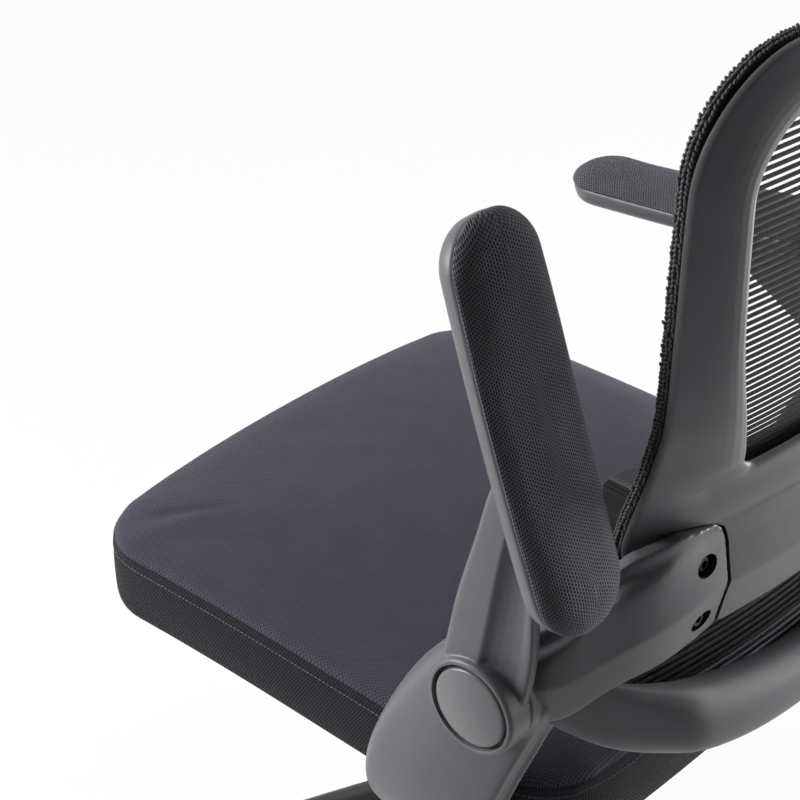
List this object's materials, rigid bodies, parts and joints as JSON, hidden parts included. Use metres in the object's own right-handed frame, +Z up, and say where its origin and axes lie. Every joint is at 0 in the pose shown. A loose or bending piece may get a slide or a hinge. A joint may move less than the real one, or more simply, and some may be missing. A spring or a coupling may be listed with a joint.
{
  "type": "office chair",
  "caption": "Swivel office chair on casters with a padded seat, a see-through mesh back in a moulded rear frame, and padded arms that flip up on side brackets",
  "frame": {"origin": "On the floor, on the swivel axis of the lift", "axes": "+Z up; the chair faces -Y; the sitter's left is +X"},
  "size_m": [0.6399, 0.678, 1.003],
  "materials": {
    "black_nylon": "satin moulded nylon",
    "satin_plastic": "fine-grained satin moulding",
    "cap_plastic": "smooth gloss",
    "seat_fabric": "dotted weave over foam",
    "pad_fabric": "dotted weave over foam",
    "mesh_fabric": "open net",
    "black_steel": "satin black",
    "bright_steel": "ground"
  },
  "bodies": {
    "base": {"star_base": "black_nylon", "lift_outer_tube": "black_steel", "lift_guide_bush": "black_nylon", "lift_thrust_bearing": "bright_steel"},
    "caster_1": {"caster_1_stem": "bright_steel", "caster_1_hood": "black_nylon", "caster_1_axle": "bright_steel"},
    "caster_1_wheel_left": {"caster_1_wheel_left": "black_nylon"},
    "caster_1_wheel_right": {"caster_1_wheel_right": "black_nylon"},
    "caster_2": {"caster_2_stem": "bright_steel", "caster_2_hood": "black_nylon", "caster_2_axle": "bright_steel"},
    "caster_2_wheel_left": {"caster_2_wheel_left": "black_nylon"},
    "caster_2_wheel_right": {"caster_2_wheel_right": "black_nylon"},
    "caster_3": {"caster_3_stem": "bright_steel", "caster_3_hood": "black_nylon", "caster_3_axle": "bright_steel"},
    "caster_3_wheel_left": {"caster_3_wheel_left": "black_nylon"},
    "caster_3_wheel_right": {"caster_3_wheel_right": "black_nylon"},
    "caster_4": {"caster_4_stem": "bright_steel", "caster_4_hood": "black_nylon", "caster_4_axle": "bright_steel"},
    "caster_4_wheel_left": {"caster_4_wheel_left": "black_nylon"},
    "caster_4_wheel_right": {"caster_4_wheel_right": "black_nylon"},
    "caster_5": {"caster_5_stem": "bright_steel", "caster_5_hood": "black_nylon", "caster_5_axle": "bright_steel"},
    "caster_5_wheel_left": {"caster_5_wheel_left": "black_nylon"},
    "caster_5_wheel_right": {"caster_5_wheel_right": "black_nylon"},
    "lift_rod": {"lift_piston_rod": "bright_steel"},
    "lift": {"lift_cylinder": "bright_steel", "mechanism_housing": "black_steel", "tilt_spring": "bright_steel"},
    "height_lever": {"height_lever": "black_nylon"},
    "tension_knob": {"tension_knob": "black_nylon"},
    "seat": {"seat_plate": "black_steel", "tilt_axle": "bright_steel", "seat_pan": "black_nylon", "seat_cushion": "seat_fabric", "left_arm_bracket": "satin_plastic", "left_back_screw_upper": "black_steel", "left_back_screw_lower": "black_steel", "right_arm_bracket": "satin_plastic", "right_back_screw_upper": "black_steel", "right_back_screw_lower": "black_steel", "back_shell": "satin_plastic", "mesh_frame": "black_nylon", "mesh_panel": "mesh_fabric", "lumbar_pad": "pad_fabric"},
    "left_arm": {"left_arm_link": "satin_plastic", "left_pad_base": "satin_plastic", "left_arm_pad": "pad_fabric", "left_pivot_cap": "cap_plastic", "left_pivot_pin": "bright_steel"},
    "right_arm": {"right_arm_link": "satin_plastic", "right_pad_base": "satin_plastic", "right_arm_pad": "pad_fabric", "right_pivot_cap": "cap_plastic", "right_pivot_pin": "bright_steel"}
  },
  "joints": [
    {"name": "caster_1_swivel", "type": "hinge", "parent": "base", "child": "caster_1", "pos_m": [0.24271, 0.17634, 0.06], "axis": [0, 0, 1], "continuous": true},
    {"name": "caster_1_wheel_left_roll", "type": "hinge", "parent": "caster_1", "child": "caster_1_wheel_left", "pos_m": [0.25329, 0.16177, 0.025], "axis": [0.809, 0.5878, 0], "continuous": true},
    {"name": "caster_1_wheel_right_roll", "type": "hinge", "parent": "caster_1", "child": "caster_1_wheel_right", "pos_m": [0.25329, 0.16177, 0.025], "axis": [0.809, 0.5878, 0], "continuous": true},
    {"name": "caster_2_swivel", "type": "hinge", "parent": "base", "child": "caster_2", "pos_m": [-0.09271, 0.28532, 0.06], "axis": [0, 0, 1], "continuous": true},
    {"name": "caster_2_wheel_left_roll", "type": "hinge", "parent": "caster_2", "child": "caster_2_wheel_left", "pos_m": [-0.07559, 0.29088, 0.025], "axis": [-0.309, 0.9511, 0], "continuous": true},
    {"name": "caster_2_wheel_right_roll", "type": "hinge", "parent": "caster_2", "child": "caster_2_wheel_right", "pos_m": [-0.07559, 0.29088, 0.025], "axis": [-0.309, 0.9511, 0], "continuous": true},
    {"name": "caster_3_swivel", "type": "hinge", "parent": "base", "child": "caster_3", "pos_m": [-0.3, 0, 0.06], "axis": [0, 0, 1], "continuous": true},
    {"name": "caster_3_wheel_left_roll", "type": "hinge", "parent": "caster_3", "child": "caster_3_wheel_left", "pos_m": [-0.3, 0.018, 0.025], "axis": [-1, 0, 0], "continuous": true},
    {"name": "caster_3_wheel_right_roll", "type": "hinge", "parent": "caster_3", "child": "caster_3_wheel_right", "pos_m": [-0.3, 0.018, 0.025], "axis": [-1, 0, 0], "continuous": true},
    {"name": "caster_4_swivel", "type": "hinge", "parent": "base", "child": "caster_4", "pos_m": [-0.09271, -0.28532, 0.06], "axis": [0, 0, 1], "continuous": true},
    {"name": "caster_4_wheel_left_roll", "type": "hinge", "parent": "caster_4", "child": "caster_4_wheel_left", "pos_m": [-0.10982, -0.27975, 0.025], "axis": [-0.309, -0.9511, 0], "continuous": true},
    {"name": "caster_4_wheel_right_roll", "type": "hinge", "parent": "caster_4", "child": "caster_4_wheel_right", "pos_m": [-0.10982, -0.27975, 0.025], "axis": [-0.309, -0.9511, 0], "continuous": true},
    {"name": "caster_5_swivel", "type": "hinge", "parent": "base", "child": "caster_5", "pos_m": [0.24271, -0.17634, 0.06], "axis": [0, 0, 1], "continuous": true},
    {"name": "caster_5_wheel_left_roll", "type": "hinge", "parent": "caster_5", "child": "caster_5_wheel_left", "pos_m": [0.23212, -0.1909, 0.025], "axis": [0.809, -0.5878, 0], "continuous": true},
    {"name": "caster_5_wheel_right_roll", "type": "hinge", "parent": "caster_5", "child": "caster_5_wheel_right", "pos_m": [0.23212, -0.1909, 0.025], "axis": [0.809, -0.5878, 0], "continuous": true},
    {"name": "seat_swivel", "type": "hinge", "parent": "base", "child": "lift_rod", "pos_m": [0, 0, 0.1], "axis": [0, 0, 1], "continuous": true},
    {"name": "seat_height", "type": "slide", "parent": "lift_rod", "child": "lift", "axis": [0, 0, 1], "range_m": [0, 0.1]},
    {"name": "height_lever_rock", "type": "hinge", "parent": "lift", "child": "height_lever", "pos_m": [-0.0535, 0, 0.3284], "axis": [0, 1, 0], "range_deg": [0, 6], "stiffness_Nm_per_rad": 2, "springref_deg": -2.86},
    {"name": "tension_knob_turn", "type": "hinge", "parent": "lift", "child": "tension_knob", "pos_m": [0, -0.095, 0.28], "axis": [0, 0, 1], "continuous": true},
    {"name": "seat_tilt", "type": "hinge", "parent": "lift", "child": "seat", "pos_m": [0, -0.03, 0.3284], "axis": [-1, 0, 0], "range_deg": [0, 12], "stiffness_Nm_per_rad": 150, "springref_deg": -20.05},
    {"name": "left_arm_flip", "type": "hinge", "parent": "seat", "child": "left_arm", "pos_m": [0.27, 0.2184, 0.5259], "axis": [-1, 0, 0], "range_deg": [-75.85, 0]},
    {"name": "right_arm_flip", "type": "hinge", "parent": "seat", "child": "right_arm", "pos_m": [-0.27, 0.2184, 0.5259], "axis": [-1, 0, 0], "range_deg": [0, 75.85]}
  ]
}
